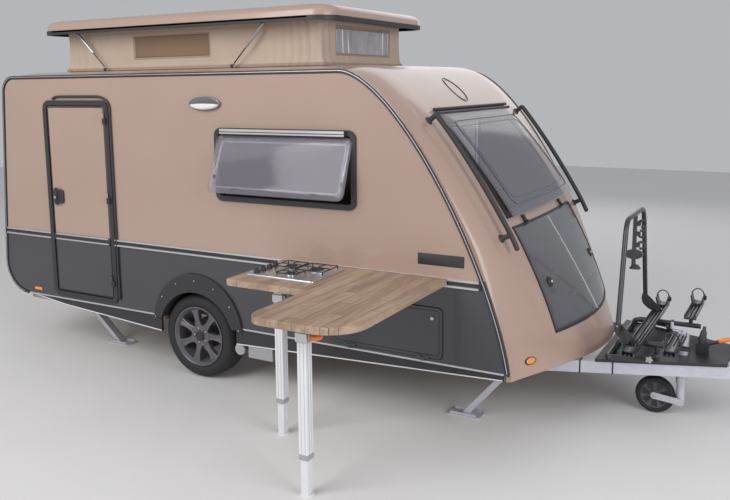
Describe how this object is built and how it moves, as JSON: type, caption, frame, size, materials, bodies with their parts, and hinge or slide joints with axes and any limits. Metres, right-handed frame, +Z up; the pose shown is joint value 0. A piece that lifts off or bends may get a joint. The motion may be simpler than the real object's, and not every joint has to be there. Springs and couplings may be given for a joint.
{
  "type": "pop-top caravan",
  "caption": "Small beige pop-top caravan with a raised lid, drawbar with cycle carrier and jockey wheel, corner steadies and an outside table with a hob.",
  "frame": {"origin": "centre of the towing ball that the coupling takes", "axes": "+X forward in the towing direction, +Y to the left side, +Z up"},
  "size_m": [5.5491, 3.19, 2.452],
  "materials": {
    "side_paint": "satin",
    "lower_paint": "satin",
    "shell": "gloss",
    "trim": "matte",
    "rail": "satin",
    "panes": "gloss",
    "tent_cloth": "matte",
    "locker_paint": "satin",
    "galvanised": "satin",
    "black_steel": "satin",
    "tyre_rubber": "matte",
    "rim_metal": "satin",
    "ply": "satin",
    "oak": "satin",
    "cushion_cloth": "matte",
    "lamp": "gloss",
    "white_metal": "satin",
    "steel": "satin"
  },
  "bodies": {
    "caravan": {"chassis": "galvanised", "axle": "galvanised", "floor": "ply", "side_right_upper": "side_paint", "side_right_lower": "lower_paint", "side_left_upper": "side_paint", "side_left_lower": "lower_paint", "rear_panel": "side_paint", "rear_top": "shell", "roof_panel": "shell", "front_shell": "shell", "edge_trims": "trim", "belt_rails": "rail", "wheel_arches": "trim", "skirts": "trim", "door_frame": "trim", "window_frames": "trim", "window_panes": "panes", "front_window": "trim", "front_pane": "panes", "rear_lamps": "lamp", "side_lamps": "lamp", "grab_rails": "trim", "locker_hinges": "trim", "front_markers": "lamp", "strut_lugs": "trim", "furniture": "oak", "cushions": "cushion_cloth", "movers": "steel", "coupling": "steel", "drawbar_cover": "trim", "handbrake": "trim", "jockey_clamp": "galvanised", "carrier_base": "black_steel", "table_top": "oak", "table_legs": "white_metal", "hob": "steel"},
    "wheel_right": {"rim_right": "rim_metal", "tyre_right": "tyre_rubber"},
    "wheel_left": {"rim_left": "rim_metal", "tyre_left": "tyre_rubber"},
    "entry_door": {"door_upper": "side_paint", "door_lower": "lower_paint"},
    "pop_top": {"lid_shell": "shell", "lid_trim": "trim", "tent": "tent_cloth"},
    "rear_strut_tubes": {"strut_tubes_rear": "black_steel"},
    "front_strut_tubes": {"strut_tubes_front": "black_steel"},
    "rear_strut_rods": {"strut_rods_rear": "steel"},
    "front_strut_rods": {"strut_rods_front": "steel"},
    "carrier_arch": {"carrier_frame": "black_steel"},
    "front_locker_lid": {"locker_lid": "locker_paint"},
    "service_hatch": {"side_hatch": "lower_paint"},
    "steady_fr": {"steady_front_right": "galvanised"},
    "steady_fl": {"steady_front_left": "galvanised"},
    "steady_rr": {"steady_rear_right": "galvanised"},
    "steady_rl": {"steady_rear_left": "galvanised"},
    "jockey_leg": {"jockey_tube": "galvanised"},
    "jockey_swivel": {"jockey_fork": "galvanised"},
    "jockey_roller": {"jockey_wheel": "trim"}
  },
  "joints": [
    {"name": "right_wheel_turn", "type": "hinge", "parent": "caravan", "child": "wheel_right", "pos_m": [-3.6, -0.8925, -0.142], "axis": [0, 1, 0], "continuous": true},
    {"name": "left_wheel_turn", "type": "hinge", "parent": "caravan", "child": "wheel_left", "pos_m": [-3.6, 0.8925, -0.142], "axis": [0, 1, 0], "continuous": true},
    {"name": "door_swing", "type": "hinge", "parent": "caravan", "child": "entry_door", "pos_m": [-4.32, -1.04, 0.715], "axis": [0, 0, 1], "range_deg": [0, 150]},
    {"name": "lid_lift", "type": "slide", "parent": "caravan", "child": "pop_top", "axis": [0, 0, 1], "range_m": [-0.265, 0], "deforming": ["tent"]},
    {"name": "rear_strut_turn", "type": "hinge", "parent": "pop_top", "child": "rear_strut_tubes", "pos_m": [-4.965, 0, 1.92], "axis": [0, 1, 0], "range_deg": [-43.94, 0]},
    {"name": "rear_strut_stroke", "type": "slide", "parent": "rear_strut_tubes", "child": "rear_strut_rods", "axis": [0.7201, 0, -0.6939], "range_m": [-0.1069, 0]},
    {"name": "front_strut_turn", "type": "hinge", "parent": "pop_top", "child": "front_strut_tubes", "pos_m": [-3.253, 0, 1.92], "axis": [0, 1, 0], "range_deg": [0, 45.55]},
    {"name": "front_strut_stroke", "type": "slide", "parent": "front_strut_tubes", "child": "front_strut_rods", "axis": [-0.7003, 0, -0.7138], "range_m": [-0.11125, 0]},
    {"name": "carrier_fold", "type": "hinge", "parent": "caravan", "child": "carrier_arch", "pos_m": [-1.002, 0, 0.128], "axis": [0, 1, 0], "range_deg": [0, 60]},
    {"name": "locker_swing", "type": "hinge", "parent": "caravan", "child": "front_locker_lid", "pos_m": [-1.5484, 0, 0.70256], "axis": [0, -1, 0], "range_deg": [0, 60]},
    {"name": "hatch_swing", "type": "hinge", "parent": "caravan", "child": "service_hatch", "pos_m": [-2.1685, -1.029, 0], "axis": [1, 0, 0], "range_deg": [0, 90]},
    {"name": "steady_fr_swing", "type": "hinge", "parent": "caravan", "child": "steady_fr", "pos_m": [-1.54, -0.69, -0.118], "axis": [0, 1, 0], "range_deg": [0, 42]},
    {"name": "steady_fl_swing", "type": "hinge", "parent": "caravan", "child": "steady_fl", "pos_m": [-1.54, 0.69, -0.118], "axis": [0, 1, 0], "range_deg": [0, 42]},
    {"name": "steady_rr_swing", "type": "hinge", "parent": "caravan", "child": "steady_rr", "pos_m": [-5, -0.65, -0.118], "axis": [0, -1, 0], "range_deg": [0, 34]},
    {"name": "steady_rl_swing", "type": "hinge", "parent": "caravan", "child": "steady_rl", "pos_m": [-5, 0.65, -0.118], "axis": [0, -1, 0], "range_deg": [0, 34]},
    {"name": "jockey_height", "type": "slide", "parent": "caravan", "child": "jockey_leg", "axis": [0, 0, 1], "range_m": [-0.05, 0.06]},
    {"name": "jockey_steer", "type": "hinge", "parent": "jockey_leg", "child": "jockey_swivel", "pos_m": [-0.692, -0.117, -0.225], "axis": [0, 0, 1], "continuous": true},
    {"name": "jockey_roll", "type": "hinge", "parent": "jockey_swivel", "child": "jockey_roller", "pos_m": [-0.831, -0.117, -0.319], "axis": [0, 1, 0], "continuous": true}
  ],
  "couplings": [
    {"joint": "rear_strut_turn", "follows": "lid_lift", "rad_per_m": 2.8939},
    {"joint": "rear_strut_stroke", "follows": "lid_lift", "ratio": 0.40341},
    {"joint": "front_strut_turn", "follows": "lid_lift", "rad_per_m": -2.9997},
    {"joint": "front_strut_stroke", "follows": "lid_lift", "ratio": 0.4198},
    {"joint": "locker_swing", "follows": "carrier_fold", "ratio": 1}
  ]
}
